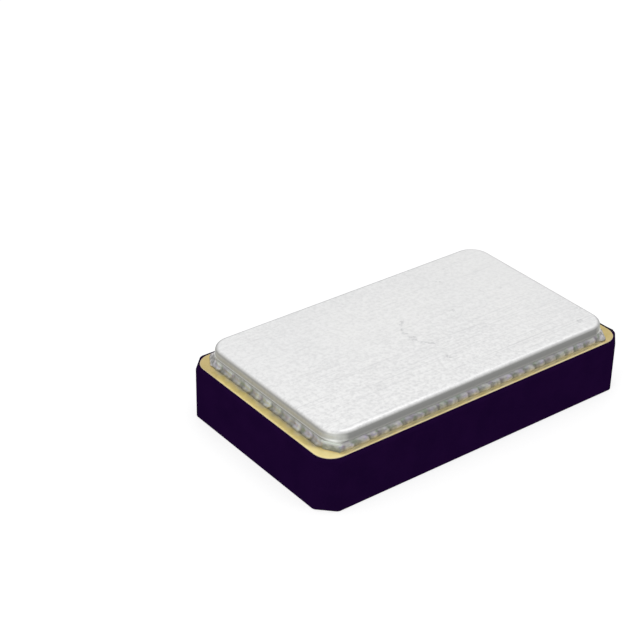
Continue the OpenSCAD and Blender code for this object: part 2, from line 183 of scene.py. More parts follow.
def skin(bm, loops, closed=False):
    """Faces between loops of points, each to the next. A closed skin joins the last loop to the first, and
    an open one has a cap at both ends."""
    rows = [[bm.verts.new(p) for p in loop] for loop in loops]
    n = len(rows[0])
    pairs = list(zip(rows, rows[1:])) + ([(rows[-1], rows[0])] if closed else [])
    for a, b in pairs:
        for i in range(n):
            k = (i + 1) % n
            bm.faces.new((a[i], a[k], b[k], b[i]))
    if not closed:
        bm.faces.new(rows[0][::-1])
        bm.faces.new(rows[-1])


def level(points, z):
    """A loop of 3-D points at height z from an outline."""
    return [(p.x, p.y, z) for p, _ in points]


def smooth(t):
    """0 to 1 with soft ends as t goes from 0 to 1."""
    t = min(1.0, max(0.0, t))
    return t * t * (3 - 2 * t)


def softened(node, name, material, passes):
    """A copy of a CAD node's mesh with edges rounded off: passes is [(picks, radius, segments)], where
    picks(a, b, edge) says whether the edge from a to b is rounded."""
    bm = bmesh.new()
    bm.from_mesh(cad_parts[node].data)
    for v in bm.verts:
        v.co /= MM
    bmesh.ops.remove_doubles(bm, verts=bm.verts, dist=1e-5)
    bmesh.ops.dissolve_limit(bm, angle_limit=math.radians(0.5), verts=bm.verts, edges=bm.edges)
    for picks, radius, segments in passes:
        edges = [e for e in bm.edges if e.is_manifold and picks(e.verts[0].co, e.verts[1].co, e)]
        bmesh.ops.bevel(
            bm, geom=edges, offset=radius, offset_type="OFFSET", segments=segments, profile=0.5,
            affect="EDGES",
        )
    obj = finish_mesh(bm, name, material)
    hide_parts(node)
    return obj


# ---------------------------------------------------------------- materials


def add_node(tree, kind, inputs=None, **settings):
    """Adds a node. inputs gives its sockets, by name or number, a value or another node's output."""
    node = tree.nodes.new(kind)
    for key, value in settings.items():
        setattr(node, key, value)
    for key, value in (inputs or {}).items():
        if isinstance(value, bpy.types.NodeSocket):
            tree.links.new(value, node.inputs[key])
        else:
            node.inputs[key].default_value = value
    return node


class Finish:
    """A material with its tree, its shader and short ways to add nodes. Patterns are in millimetres."""

    def __init__(self, name, colour, roughness, metallic=0.0, specular=0.5):
        self.material = bpy.data.materials.new(name)
        self.material.use_nodes = True
        self.material.diffuse_color = (*colour, 1.0)
        self.tree = self.material.node_tree
        self.shader = next(n for n in self.tree.nodes if n.type == "BSDF_PRINCIPLED")
        self.shader.inputs["Base Color"].default_value = (*colour, 1.0)
        self.shader.inputs["Roughness"].default_value = roughness
        self.shader.inputs["Metallic"].default_value = metallic
        self.shader.inputs["Specular IOR Level"].default_value = specular
        where = self.add("ShaderNodeTexCoord").outputs
        self.place, self.normal = where["Object"], where["Normal"]

    def add(self, kind, inputs=None, **settings):
        return add_node(self.tree, kind, inputs, **settings)

    def at(self, x=1.0, y=1.0, z=1.0, shift=(0.0, 0.0, 0.0)):
        """Millimetre coordinates, stretched and then shifted."""
        scale = (x / MM, y / MM, z / MM)
        return self.add(
            "ShaderNodeMapping", {"Vector": self.place, "Location": shift, "Scale": scale}
        ).outputs["Vector"]

    def axes(self, vector):
        """The X, Y and Z of a vector, by name."""
        return self.add("ShaderNodeSeparateXYZ", {"Vector": vector}).outputs

    def noise(self, vector, scale, detail=2.0, roughness=0.5, distortion=0.0):
        inputs = {"Vector": vector, "Scale": scale, "Detail": detail, "Roughness": roughness}
        return self.add("ShaderNodeTexNoise", {**inputs, "Distortion": distortion}).outputs["Fac"]

    def cells(self, vector, scale):
        return self.add("ShaderNodeTexVoronoi", {"Vector": vector, "Scale": scale}).outputs["Distance"]

    def distance(self, x, y, stretch_y=1.0):
        """How far a place on a level face is from (x, y), with distances along Y stretched."""
        off = self.at(1.0, stretch_y, 0.0, (-x, -stretch_y * y, 0.0))
        return self.add("ShaderNodeVectorMath", {"Vector": off}, operation="LENGTH").outputs["Value"]

    def spread(self, value, low, high, to_low=0.0, to_high=1.0):
        """value from low to high, turned into to_low to to_high and held there."""
        return self.add(
            "ShaderNodeMapRange",
            {"Value": value, "From Min": low, "From Max": high, "To Min": to_low, "To Max": to_high},
            clamp=True,
        ).outputs["Result"]

    def maths(self, operation, a, b=0.0):
        return self.add("ShaderNodeMath", {0: a, 1: b}, operation=operation).outputs[0]

    def product(self, a, b):
        return self.maths("MULTIPLY", a, b)

    def size_of(self, value):
        return self.maths("ABSOLUTE", value)

    def mix(self, factor, a, b, blend="MIX"):
        """A colour that goes from a to b. Each is an output or (red, green, blue)."""
        a, b = (c if isinstance(c, bpy.types.NodeSocket) else (*c, 1.0) for c in (a, b))
        inputs = {0: factor, 6: a, 7: b}
        return self.add("ShaderNodeMix", inputs, data_type="RGBA", blend_type=blend).outputs[2]

    def put(self, name, out):
        """Links an output to a socket of the shader."""
        self.tree.links.new(out, self.shader.inputs[name])

    def colour(self, out):
        self.put("Base Color", out)

    def roughness(self, out):
        self.put("Roughness", out)

    def bump(self, height, depth, strength):
        """depth is in millimetres, from height 0 to height 1."""
        node = self.add("ShaderNodeBump", {"Height": height, "Strength": strength, "Distance": depth * MM})
        before = self.shader.inputs["Normal"]
        if before.is_linked:
            self.tree.links.new(before.links[0].from_socket, node.inputs["Normal"])
        self.put("Normal", node.outputs["Normal"])


def ceramic_finish():
    """Fired black-violet alumina: matt, with a fine sintered grain and a faint clouding."""
    f = Finish("dark_ceramic", (0.012, 0.0023, 0.028), 0.6, specular=0.0)
    grain = f.noise(f.at(), 75.0, 3.0, 0.6)
    cloud = f.noise(f.at(), 2.4, 4.0, 0.55)
    base = f.mix(f.spread(cloud, 0.3, 0.7), (0.0100, 0.0019, 0.0245), (0.0138, 0.0027, 0.0305))
    f.colour(f.mix(f.spread(grain, 0.45, 0.75, 0.0, 0.5), base, (0.0190, 0.0055, 0.0380)))
    f.roughness(f.spread(grain, 0.3, 0.7, 0.52, 0.70))
    f.bump(grain, 0.0012, 0.6)
    return f.material


def beside_weld(f, base, half_l, half_w, cut_x, cut_y):
    """Plating beside a weld with this half length, half width and corner cut: greyer along the
    sides and ends as painted reflection and shade of the weld, and darker at three corner cuts as painted
    shade. At the corner where the seam starts it is painted bright yellow as a painted highlight, and matt."""
    place = f.axes(f.at())
    past_x = f.maths("SUBTRACT", f.size_of(place["X"]), half_l)
    past_y = f.maths("SUBTRACT", f.size_of(place["Y"]), half_w)
    cut = math.hypot(cut_x, cut_y)
    past_cut = f.maths(
        "ADD", f.product(past_x, cut_y / cut), f.product(f.maths("ADD", past_y, cut_y), cut_x / cut)
    )
    ends = f.spread(f.maths("SUBTRACT", past_x, past_y), -0.05, 0.05)

    scallop = f.noise(f.at(shift=(1.9, 4.4, 0.0)), 5.5, 1.0, 0.5)
    away = f.maths("MAXIMUM", f.maths("MAXIMUM", past_x, past_y), f.maths("ADD", past_cut, 0.09))
    away = f.maths("ADD", away, f.spread(scallop, 0.35, 0.65, -0.022, 0.022))
    away = f.maths("SUBTRACT", away, f.product(ends, 0.005))
    # Painted reflection and shade of the weld: greyer beside it, and more so at the ends.
    weld_shade_tint = f.product(f.spread(away, 0.0, 0.065, 0.9, 0.0), f.spread(ends, 0.0, 1.0, 1.0, 0.7))
    base = f.mix(f.product(ends, 0.5), base, (0.82, 0.68, 0.27))
    base = f.mix(weld_shade_tint, base, f.mix(ends, (0.72, 0.67, 0.48), (0.68, 0.64, 0.55)))

    # Painted shade on three corner cuts, and a painted highlight on the corner cut where the seam starts.
    start = f.product(f.spread(place["X"], 0.5, -0.5), f.spread(place["Y"], 0.5, -0.5))
    fade_from, fade_to = f.spread(start, 0.0, 1.0, -0.14, -0.06), f.spread(start, 0.0, 1.0, 0.0, 0.02)
    at_cut = f.spread(past_cut, fade_from, fade_to)
    base = f.mix(f.product(at_cut, 0.92), base, f.mix(start, (0.55, 0.44, 0.20), (1.0, 0.84, 0.37)))
    f.put("Metallic", f.spread(f.product(at_cut, start), 0.0, 1.0, 1.0, 0.12))
    mottle = f.noise(f.at(shift=(4.2, 0.7, 0.0)), 8.0, 3.0, 0.6)
    return f.mix(f.spread(mottle, 0.46, 0.66, 0.0, 0.7), base, (0.88, 0.89, 0.76), "MULTIPLY")


def gold_finish(name, bright, deep, roughness, scale=1.0, stain=0.25, rim=None, weld=None):
    """Matt gold plating over fired metal: a fine pebble, soft stains and small darker specks. rim is a paler,
    less yellow colour on a rounded edge, a painted highlight, and weld is what beside_weld needs."""
    f = Finish(name, bright, roughness, metallic=1.0)
    pebble = f.noise(f.at(), 42.0 * scale, 3.0, 0.6)
    broad = f.noise(f.at(shift=(3.1, 1.7, 0.4)), 2.6 * scale, 4.0, 0.6, 0.4)
    speck = f.noise(f.at(shift=(7.3, 2.2, 5.1)), 24.0 * scale, 2.0, 0.5)
    base = f.mix(f.spread(broad, 0.35, 0.75, 0.0, stain), bright, deep)
    base = f.mix(f.spread(pebble, 0.35, 0.7, 0.0, 0.22), base, deep)
    base = f.mix(f.spread(speck, 0.68, 0.8, 0.0, 0.55), base, tuple(0.45 * c for c in deep))
    if weld:
        base = beside_weld(f, base, *weld)
    if rim:
        # Painted highlight: the rounded rim takes the paler rim colour.
        base = f.mix(f.spread(f.axes(f.normal)["Z"], 0.55, 0.98, 1.0, 0.0), base, rim)
    f.colour(base)
    f.roughness(f.spread(broad, 0.3, 0.75, roughness - 0.07, roughness + 0.12))
    f.bump(pebble, 0.0016, 0.5)
    return f.material


def lid_scuffs(f, top, place, pebble, ragged):
    """Small scuffs on the lid's top, at the places and of the sizes in the list, and one curved scratch, a
    broken arc round a centre. The pebble breaks them up, and ragged shifts their edges."""
    broken = f.spread(pebble, 0.42, 0.56, 0.1, 0.75)
    worn_off = (0.57, 0.57, 0.58)
    scuffs = (
        (-0.09, -0.15, 0.08), (0.01, -0.88, 0.08), (2.36, -1.30, 0.08),
        (1.40, 0.94, 0.06), (0.97, 0.12, 0.05),
    )
    for x, y, size in scuffs:
        off = f.maths("ADD", f.distance(x, y, 1.4), f.spread(ragged, 0.3, 0.7, 0.08, -0.08))
        top = f.mix(f.product(f.spread(off, size, 0.4 * size), broken), top, worn_off)
    centre_x, centre_y, radius, right_end = 0.35, -0.08, 0.47, 0.16
    strayed = f.maths("ADD", f.distance(centre_x, centre_y), f.spread(ragged, 0.3, 0.7, 0.03, -0.03))
    arc = f.spread(f.size_of(f.maths("SUBTRACT", strayed, radius)), 0.034, 0.014)
    arc = f.product(arc, f.spread(place["X"], right_end, right_end - 0.1))
    return f.mix(f.product(arc, broken), top, worn_off)


def lid_top(f, place, lines, pebble):
    """The lid's pale top, painted paler towards the -X end as painted light. Its lines and pebble show most
    on the near half, and the pebble fades to +X.
    """
    broad = f.noise(f.at(shift=(4.0, 0.0, 0.0)), 0.55, 3.0, 0.5)
    scratch = f.noise(f.at(0.5, 9.0, 1.0, (2.3, 5.2, 0.0)), 2.0, 4.0, 0.6, 0.3)
    scuff = f.noise(f.at(1.0, 1.6, 1.0, (1.3, 2.2, 0.0)), 5.0, 5.0, 0.7, 1.2)
    where = f.noise(f.at(shift=(0.0, 9.0, 0.0)), 0.8, 1.0, 0.5)

    worn = f.spread(f.maths("ADD", place["Y"], f.spread(broad, 0.3, 0.7, -0.5, 0.5)), 0.6, -0.8, 0.60, 1.0)
    worn = f.product(worn, f.spread(place["X"], 0.6, 2.6, 1.0, 0.6))
    streaked = f.spread(place["Y"], 0.3, -0.8, 0.25, 1.0)
    top = f.mix(f.spread(broad, 0.3, 0.7), (0.795, 0.797, 0.800), (0.835, 0.835, 0.831))
    # Painted light: paler towards the -X end.
    top = f.mix(f.spread(place["X"], -0.8, -2.6, 0.0, 0.4), top, (0.88, 0.88, 0.878))
    top = f.mix(f.product(f.spread(pebble, 0.48, 0.64, 0.0, 0.72), worn), top, (0.69, 0.69, 0.695))
    top = f.mix(f.product(f.spread(pebble, 0.50, 0.34, 0.0, 0.68), worn), top, (0.92, 0.92, 0.92))
    top = f.mix(f.product(f.spread(lines, 0.54, 0.70, 0.0, 0.75), streaked), top, (0.66, 0.66, 0.665))
    top = f.mix(f.product(f.spread(scratch, 0.60, 0.70, 0.0, 0.6), worn), top, (0.65, 0.65, 0.655))
    marked = f.product(f.spread(scuff, 0.58, 0.70), f.spread(where, 0.56, 0.64, 0.0, 0.5))
    top = f.mix(marked, top, (0.58, 0.58, 0.59))
    return lid_scuffs(f, top, place, pebble, scuff)


def lid_wall(f, place, facing, flange_z, corner_at):
    """The lid's drawn walls and flange: dark along the sides as painted shade, paler at the ends as painted
    light, with painted highlights where the walls turn and painted light over the crease at the foot.
    """
    height = place["Z"]
    upright = f.noise(f.at(9.0, 9.0, 1.2), 2.2, 4.0, 0.6)
    ends = f.spread(f.size_of(facing["X"]), 0.2, 0.8)
    # Painted light: the ends are paler than the sides, less so where they tilt up.
    lit_end_wall = f.mix(f.spread(facing["Z"], 0.02, 0.30), (0.485, 0.48, 0.435), (0.345, 0.34, 0.32))
    wall = f.mix(ends, (0.250, 0.252, 0.245), lit_end_wall)
    # Painted highlight where the walls turn at the corners.
    turning = f.product(f.size_of(facing["X"]), f.size_of(facing["Y"]))
    wall = f.mix(f.spread(turning, 0.16, 0.46, 0.0, 0.85), wall, (0.58, 0.59, 0.56))
    wall = f.mix(f.spread(upright, 0.4, 0.75, 0.0, 0.25), wall, (0.23, 0.23, 0.22))
    # Painted light over the crease's shade: the wall's foot is lighter.
    foot = f.mix(ends, (0.37, 0.37, 0.35), (0.66, 0.655, 0.62))
    wall = f.mix(f.spread(height, flange_z, flange_z + 0.03, 0.7, 0.0), wall, foot)
    # Painted light, near white, at the foot of the corners over the crease's shade.
    at_corner = f.product(
        f.spread(f.size_of(place["X"]), corner_at.x - 0.2, corner_at.x),
        f.spread(f.size_of(place["Y"]), corner_at.y - 0.2, corner_at.y),
    )
    low = f.spread(height, flange_z + 0.01, flange_z + 0.035, 1.0, 0.0)
    return f.mix(f.product(at_corner, low), wall, (0.85, 0.86, 0.83))


def lid_finish(flange_z, corner_at):
    """Satin nickel sheet, its walls painted darker than the top as painted shade, and painted shade on the
    top edge along the two far sides. flange_z is the height of the flange, and corner_at is where the walls
    turn."""
    f = Finish("satin_nickel", (0.82, 0.82, 0.82), 0.34, metallic=1.0)
    f.shader.inputs["Specular Tint"].default_value = (0.55, 0.55, 0.55, 1.0)
    lines = f.noise(f.at(0.16, 14.0, 1.0), 2.4, 5.0, 0.6)
    fine = f.noise(f.at(1.2, 40.0, 1.0, (1.0, 2.0, 0.0)), 1.8, 3.0, 0.6)
    pebble = f.noise(f.at(), 17.0, 3.0, 0.7)
    place, facing = f.axes(f.at()), f.axes(f.normal)
    # Painted shade on the top's rounded edge where it faces +X or +Y.
    away = f.spread(f.maths("MAXIMUM", facing["X"], facing["Y"]), 0.08, 0.45)
    top = f.mix(away, lid_top(f, place, lines, pebble), (0.62, 0.62, 0.625))
    wall = lid_wall(f, place, facing, flange_z, corner_at)
    # The walls take the dark wall colours and the top takes the pale one: painted shade on the walls of one
    # sheet.
    level = f.product(f.spread(facing["Z"], 0.43, 0.92), f.spread(place["Z"], flange_z, flange_z + 0.06))
    f.colour(f.mix(level, wall, top))
    f.roughness(f.spread(level, 0.0, 1.0, 0.46, f.spread(lines, 0.3, 0.7, 0.30, 0.42)))
    f.bump(fine, 0.0006, 0.5)
    f.bump(pebble, 0.0012, 0.5)
    return f.material


def weld_finish(foot_z, top_z, end_x):
    """Re-melted nickel and Kovar in lilac and green tints: overlapping spots whose lips are painted pale as a
    painted highlight over hollows painted dark as painted shade, and a foot of another colour. The mesh gives
    two values: shade goes from 0 in a hollow to 1 on a lip, and above 1 on the bead's top at the corners, for
    a painted highlight on the ridge. corner is 1 on a run-out slope and -1 on the corner cut where the seam
    starts."""
    f = Finish("seam_weld_metal", (0.40, 0.39, 0.40), 0.45, metallic=1.0)
    shade, corner = (
        f.add("ShaderNodeAttribute", attribute_name=name).outputs["Fac"] for name in ("shade", "corner")
    )
    tint = f.noise(f.at(shift=(2.0, 0.0, 6.0)), 6.5, 3.0, 0.6)
    green = f.noise(f.at(shift=(8.0, 3.0, 0.0)), 7.0, 3.0, 0.6)
    patch = f.noise(f.at(shift=(5.0, 7.0, 1.0)), 13.0, 3.0, 0.6)
    grit = f.noise(f.at(), 45.0, 3.0, 0.65)
    place = f.axes(f.at())
    height = place["Z"]
    ends = f.spread(f.size_of(place["X"]), end_x - 0.145, end_x - 0.115)
    near_foot = f.spread(height, foot_z + 0.01, foot_z + 0.07, 1.0, 0.0)

    greenish = f.spread(green, 0.44, 0.58)
    side = f.mix(greenish, (0.260, 0.240, 0.270), (0.222, 0.262, 0.205))
    end = f.mix(greenish, (0.290, 0.280, 0.325), (0.250, 0.310, 0.255))
    side, end = f.mix(near_foot, side, (0.27, 0.262, 0.235)), f.mix(near_foot, end, (0.205, 0.21, 0.215))
    end = f.mix(f.spread(height, top_z - 0.04, top_z - 0.01), end, (0.28, 0.28, 0.24))
    hollow = f.mix(ends, side, end)

    lilac = f.spread(tint, 0.43, 0.58)
    side = f.mix(lilac, (0.52, 0.52, 0.47), (0.465, 0.430, 0.535))
    end = f.mix(lilac, (0.61, 0.64, 0.60), (0.56, 0.53, 0.68))
    side, end = f.mix(near_foot, side, (0.79, 0.76, 0.73)), f.mix(near_foot, end, (0.42, 0.435, 0.445))
    # Painted shade: the lips are darker towards the bead's top, except on the corner ridges.
    top_shaded = f.product(f.spread(height, top_z - 0.05, top_z, 0.0, 0.6), f.spread(shade, 1.0, 1.1, 1.0, 0.0))
    side, end = f.mix(top_shaded, side, (0.47, 0.47, 0.46)), f.mix(top_shaded, end, (0.47, 0.475, 0.42))
    # Painted highlight on the ridge along the bead's top at the corners.
    lip = f.mix(f.spread(shade, 1.0, 1.1), f.mix(ends, side, end), (0.50, 0.53, 0.48))

    # Hollows take the dark colours and lips take the pale ones: painted shade and painted highlight, broken
    # up by patches.
    blotched = f.maths("ADD", shade, f.spread(patch, 0.25, 0.75, -0.28, 0.28))
    base = f.mix(f.spread(blotched, 0.0, 1.0), hollow, lip)
    mottled = f.spread(patch, 0.40, 0.60)
    slope = f.mix(mottled, (0.24, 0.24, 0.23), (0.56, 0.54, 0.55))
    base = f.mix(f.spread(corner, 0.0, 1.0), base, slope)
    # The corner cut where the seam starts has its own green-blue tint, made paler by painted light.
    face = f.product(f.spread(corner, 0.0, -1.0), f.spread(shade, 1.0, 0.6))
    base = f.mix(face, base, f.mix(mottled, (0.29, 0.325, 0.36), (0.46, 0.50, 0.58)))
    f.colour(f.mix(f.spread(grit, 0.5, 0.75, 0.0, 0.25), base, (0.29, 0.28, 0.26)))
    f.roughness(f.spread(shade, 0.0, 1.0, 0.56, 0.42))
    f.bump(grit, 0.0020, 0.6)
    return f.material


def metal_finish(name, pale, dark, roughness, scale, depth):
    """Plain metal with an even grain, for what the package hides."""
    f = Finish(name, pale, roughness, metallic=1.0)
    grain = f.noise(f.at(), scale, 3.0, 0.6)
    broad = f.noise(f.at(shift=(5.0, 1.0, 2.0)), 3.0, 3.0, 0.5)
    f.colour(f.mix(f.spread(grain, 0.35, 0.75), pale, dark))
    f.roughness(f.spread(broad, 0.3, 0.7, roughness - 0.06, roughness + 0.08))
    f.bump(grain, depth, 0.5)
    return f.material


def adhesive_finish():
    """Silver-filled epoxy: a dull paste with flakes."""
    f = Finish("silver_epoxy", (0.42, 0.42, 0.38), 0.6, metallic=0.35)
    flakes = f.cells(f.at(), 55.0)
    lumps = f.noise(f.at(), 18.0, 3.0, 0.6)
    f.colour(f.mix(f.spread(flakes, 0.1, 0.5), (0.52, 0.52, 0.49), (0.33, 0.33, 0.29)))
    f.roughness(f.spread(flakes, 0.1, 0.5, 0.45, 0.7))
    f.bump(lumps, 0.004, 0.6)
    return f.material


def silicon_finish():
    """A polished die with blocks of wiring under its passivation."""
    f = Finish("silicon_die", (0.06, 0.065, 0.08), 0.18, specular=0.6)
    blocks = f.add(
        "ShaderNodeTexBrick",
        {
            "Vector": f.at(), "Scale": 1.0, "Mortar Size": 0.006, "Brick Width": 0.17, "Row Height": 0.11,
            "Bias": 0.0, "Color1": (0.05, 0.06, 0.09, 1.0), "Color2": (0.10, 0.09, 0.11, 1.0),
            "Mortar": (0.20, 0.18, 0.15, 1.0),
        },
        offset=0.37, squash=0.6, squash_frequency=3,
    ).outputs["Color"]
    lines = f.noise(f.at(1.0, 30.0, 1.0), 6.0, 2.0, 0.5)
    f.colour(f.mix(f.spread(lines, 0.45, 0.6, 0.0, 0.4), blocks, (0.16, 0.15, 0.17)))
    f.roughness(f.spread(lines, 0.4, 0.6, 0.14, 0.26))
    return f.material


def quartz_finish():
    """Lapped quartz: clear, with a faint frost."""
    f = Finish("lapped_quartz", (0.90, 0.95, 0.98), 0.12)
    f.shader.inputs["Transmission Weight"].default_value = 0.85
    f.shader.inputs["IOR"].default_value = 1.54
    frost = f.noise(f.at(), 60.0, 3.0, 0.6)
    f.colour(f.mix(f.spread(frost, 0.4, 0.7), (0.90, 0.95, 0.98), (0.84, 0.90, 0.95)))
    f.roughness(f.spread(frost, 0.35, 0.7, 0.08, 0.24))
    f.bump(frost, 0.0004, 0.5)
    return f.material


weld_low, weld_high = box_mm("seam_weld")
ring_high = box_mm("seal_ring")[1]
lid_low, lid_high = box_mm("lid")

CERAMIC = ceramic_finish()
GOLD_PAD = gold_finish("gold_terminal", (0.88, 0.715, 0.335), (0.70, 0.52, 0.20), 0.40)
GOLD_BAND = gold_finish(
    "gold_band", (0.83, 0.685, 0.335), (0.64, 0.505, 0.18), 0.46, scale=1.6, stain=0.45,
    rim=(0.66, 0.57, 0.39), weld=(*weld_high.xy, RING_CUT_X, RING_CUT_Y),
)
BRAZE = metal_finish("braze_fillet", (0.62, 0.57, 0.42), (0.48, 0.44, 0.32), 0.5, 30.0, 0.0015)
RING_METAL = metal_finish("plated_kovar_ring", (0.62, 0.56, 0.40), (0.45, 0.41, 0.28), 0.45, 24.0, 0.0012)
LID = lid_finish(weld_high.z, lid_high.xy - Vector((0.1, 0.1)))
WELD = weld_finish(weld_low.z, weld_high.z, ring_high.x)
GOLD_TRACE = gold_finish("gold_trace", (0.86, 0.69, 0.33), (0.66, 0.50, 0.20), 0.42, scale=2.0)
GOLD_WIRE = metal_finish("gold_wire", (0.90, 0.70, 0.28), (0.78, 0.58, 0.20), 0.24, 40.0, 0.0004)
VIA_METAL = metal_finish("tungsten_via", (0.19, 0.19, 0.20), (0.11, 0.11, 0.12), 0.62, 60.0, 0.002)
ADHESIVE = adhesive_finish()
SILICON = silicon_finish()
ELECTRODE = metal_finish("electrode_film", (0.66, 0.66, 0.68), (0.56, 0.56, 0.59), 0.30, 50.0, 0.0004)
QUARTZ = quartz_finish()

# ---------------------------------------------------------------- ceramic base and pads

base_low, base_high = box_mm("ceramic_base")
EPS = 1e-3


def on_base_side(p, within=EPS):
    """Whether p is on one of the base's four sides or four corner cuts."""
    on_cut = abs(p.x) + abs(p.y) > base_high.x + base_high.y - CORNER_CUT - 1.5 * within
    return on_cut or abs(p.x) > base_high.x - within or abs(p.y) > base_high.y - within


def at_height(a, b, z):
    return abs(a.z - z) < EPS and abs(b.z - z) < EPS


def turns(edge, degrees):
    return edge.calc_face_angle(0.0) > math.radians(degrees)


def upright_corner(a, b, edge):
    """Picks the upright edges at both ends of each corner cut."""
    tall = abs(a.z - b.z) > (base_high.z - base_low.z) / 3
    return tall and turns(edge, 20) and on_base_side(a) and on_base_side(b)


def outer_edge_at(z):
    """Picks the base's outer edge at height z, whose corners are rounded by now."""

    def picks(a, b, edge):
        on_side = on_base_side(a, 0.03) and on_base_side(b, 0.03)
        return at_height(a, b, z) and on_side and turns(edge, 45)

    return picks


corner_offset = BASE_CORNER_R * math.tan(math.radians(45 / 2))
base = softened(
    "ceramic_base", "base_shell", CERAMIC,
    [
        (upright_corner, corner_offset, 5),
        (outer_edge_at(base_high.z), BASE_TOP_R, 5),
        (outer_edge_at(base_low.z), BASE_FOOT_R, 2),
    ],
)

pads_bottom = box_mm("terminal_pad_1")[0].z


def pad_bottom_edge(a, b, edge):
    return at_height(a, b, pads_bottom) and turns(edge, 20)


for i in range(1, 5):
    pad = softened(f"terminal_pad_{i}", f"pad_plating_{i}", GOLD_PAD, [(pad_bottom_edge, PAD_EDGE_R, 3)])

# ---------------------------------------------------------------- sealing band

band_low, band_high = box_mm("sealing_band")
band_corners = cut_corners(band_high.x, band_high.y)
opening_corners = cut_corners(OPENING_L / 2, OPENING_W / 2)


def band_loop(inset, z):
    return level(outline(band_corners, inset, BAND_CORNER_R, BAND_ARC, BAND_STEP), z)


def opening_loop(z):
    return level(outline(opening_corners, 0, OPENING_R, BAND_ARC, BAND_STEP, like=band_corners), z)


loops = [opening_loop(band_low.z), band_loop(0, band_low.z)]
for k in range(RIM_STEPS + 1):
    a = math.radians(BAND_RIM_START + (90 - BAND_RIM_START) * k / RIM_STEPS)
    z = band_low.z + (band_high.z - band_low.z) * math.sin(a)
    loops.append(band_loop(BAND_RIM_W * (1 - math.cos(a)), z))
loops += [band_loop(BAND_RIM_W + 0.01, band_high.z), opening_loop(band_high.z)]
bm = bmesh.new()
skin(bm, loops, closed=True)
band = finish_mesh(bm, "band_plating", GOLD_BAND, sharp=50)
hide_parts("sealing_band")

# ---------------------------------------------------------------- lid

ring_corners = cut_corners(ring_high.x, ring_high.y, RING_CUT_X, RING_CUT_Y)
plateau_corners = cut_corners(lid_high.x - FLANGE_END, lid_high.y - FLANGE_SIDE)
flange_top = weld_high.z
row_x, row_y = 2 * (ring_high.x - RING_CUT_X), 2 * (ring_high.y - RING_CUT_Y)


def at_cut(p, fade):
    """1 along the ring's corner cuts, falling to 0 at fade beyond their ends."""
    return smooth(min(abs(p.x) - row_x / 2, abs(p.y) - row_y / 2) / fade + 1)


def run_out(p):
    """How far the weld at p runs out into a slope: 1 at each corner but the one where the seam starts."""
    return 0.0 if p.x < 0 and p.y < 0 else at_cut(p, SLOPE_FADE)


def flange_loop(inset, z):
    """The flange's outline, which steps back under the weld's slopes."""
    points = outline(ring_corners, inset, FLANGE_CORNER_R, FLANGE_ARC, FLANGE_STEP)
    return level([(p - out * FLANGE_STEP_BACK * run_out(p), out) for p, out in points], z)


def plateau_loop(inset, z):
    return level(outline(plateau_corners, inset, PLATEAU_R, PLATEAU_ARC, PLATEAU_STEP), z)


flange = [
    flange_loop(FLANGE_INSET, lid_low.z),
    flange_loop(FLANGE_INSET, flange_top - FLANGE_CHAMFER),
    flange_loop(FLANGE_INSET + FLANGE_CHAMFER, flange_top),
]
# The raised centre starts inside the flange, and its fillet starts just under the flange's top.
walls = [plateau_loop(0, lid_low.z + 0.01)]
for k in range(FILLET_STEPS + 1):
    a = math.radians(90 * k / FILLET_STEPS)
    z = flange_top + PLATEAU_FOOT_R * (1 - math.cos(a)) - 0.0005
    walls.append(plateau_loop(PLATEAU_FOOT_R * (math.sin(a) - 1), z))
for k in range(EDGE_STEPS + 1):
    a = math.radians(90 * k / EDGE_STEPS)
    z = lid_high.z - PLATEAU_EDGE_R * (1 - math.sin(a))
    walls.append(plateau_loop(PLATEAU_EDGE_R * (1 - math.cos(a)), z))
walls.append(plateau_loop(PLATEAU_EDGE_R + 0.012, lid_high.z))
bm = bmesh.new()
skin(bm, flange)
skin(bm, walls)
lid = finish_mesh(bm, "lid_sheet", LID, sharp=60)
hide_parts("lid")

# ---------------------------------------------------------------- seam weld

rng = random.Random(63)
usual_lean = math.tan(math.radians(SPOT_LEAN))
weld_mid = (weld_low.z + weld_high.z) / 2
weld_half = (weld_high.z - weld_low.z) / 2
foot_gap = weld_low.z - band_high.z - WELD_CLEARANCE


def spot_row(length, pitch):
    """The raised lips of a straight row of overlapping spots: where each stands and how it differs."""
    count = max(2, round(length / pitch))
    step = length / count
    return [
        {
            "at": (i - 0.15) * step - length / 2 + rng.uniform(-0.2, 0.2) * step,
            "strength": rng.uniform(0.55, 1.0),
            "lean": usual_lean * rng.uniform(0.5, 1.7),
            "bow": step * rng.uniform(0.05, 0.22),
            "mid": weld_mid + rng.uniform(-0.034, 0.004),
            "ripple": rng.uniform(0, 1),
        }
        for i in range(-1, count + 3)
    ]


ROWS = {
    (0, -1): spot_row(row_x, SPOT_PITCH_SIDE), (0, 1): spot_row(row_x, SPOT_PITCH_SIDE),
    (-1, 0): spot_row(row_y, SPOT_PITCH_END), (1, 0): spot_row(row_y, SPOT_PITCH_END),
}


def lip_of(spot, z, lean_sign):
    """Where a spot's lip crosses height z, along the row: leaning, and bowed outwards at its middle."""
    off = (z - spot["mid"]) / weld_half
    return spot["at"] - lean_sign * spot["lean"] * (z - weld_mid) + spot["bow"] * (1 - off * off)


def dome_of(spot, z):
    """How far a spot is raised at height z."""
    off = (z - spot["mid"]) / (1.9 * weld_half)
    return spot["strength"] * max(0.0, 1 - off * off)


